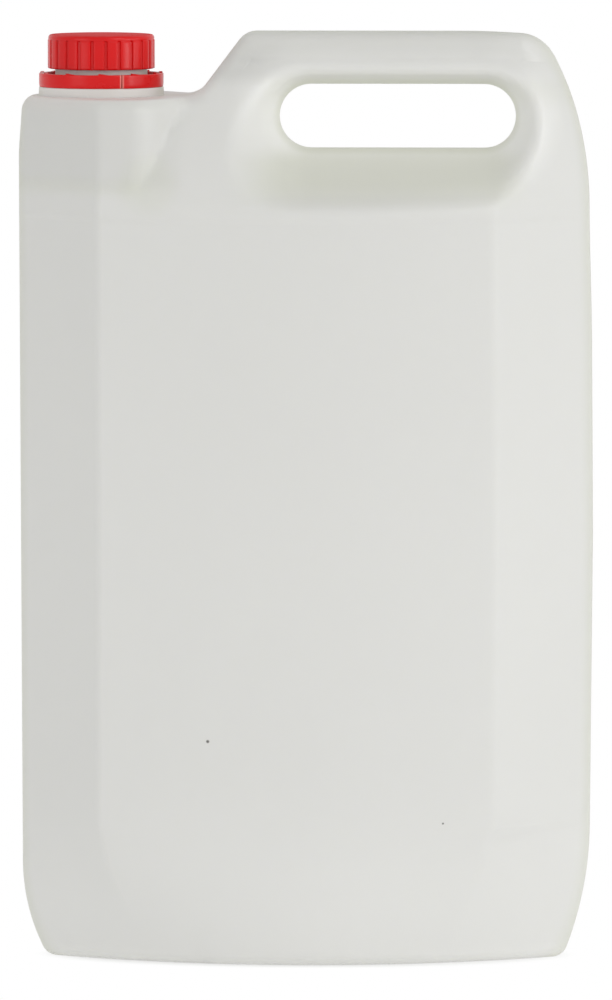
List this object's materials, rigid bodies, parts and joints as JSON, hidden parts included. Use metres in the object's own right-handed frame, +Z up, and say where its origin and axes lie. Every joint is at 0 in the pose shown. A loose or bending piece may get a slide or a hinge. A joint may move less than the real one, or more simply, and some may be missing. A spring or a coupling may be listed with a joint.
{
  "type": "water canister",
  "caption": "Upright blow-moulded water canister with a through handle, a threaded neck, a ribbed screw cap over a sealing liner, and a loose tamper ring.",
  "frame": {"origin": "on the resting plane, under the middle of the canister's width and depth", "axes": "+Z up through the canister; +X from the neck towards the handle; the face seen in the picture looks towards -Y"},
  "size_m": [0.2144, 0.1, 0.346],
  "materials": {
    "natural_plastic": "milky, slightly see-through natural polyethylene, satin",
    "cap_plastic": "red polyethylene, satin gloss",
    "liner_foam": "white foam disc"
  },
  "bodies": {
    "canister": {"canister_body": "natural_plastic", "tamper_ring": "cap_plastic"},
    "liner": {"sealing_liner": "liner_foam"},
    "cap": {"screw_cap": "cap_plastic"}
  },
  "joints": [
    {"name": "cap_lift", "type": "slide", "parent": "canister", "child": "liner", "axis": [0, 0, 1], "range_m": [0, 0.0107]},
    {"name": "cap_turn", "type": "hinge", "parent": "liner", "child": "cap", "pos_m": [-0.0764, 0, 0.3386], "axis": [0, 0, 1], "range_deg": [0, 900]}
  ],
  "couplings": [
    {"joint": "cap_lift", "follows": "cap_turn", "m_per_rad": 0.00067322}
  ]
}
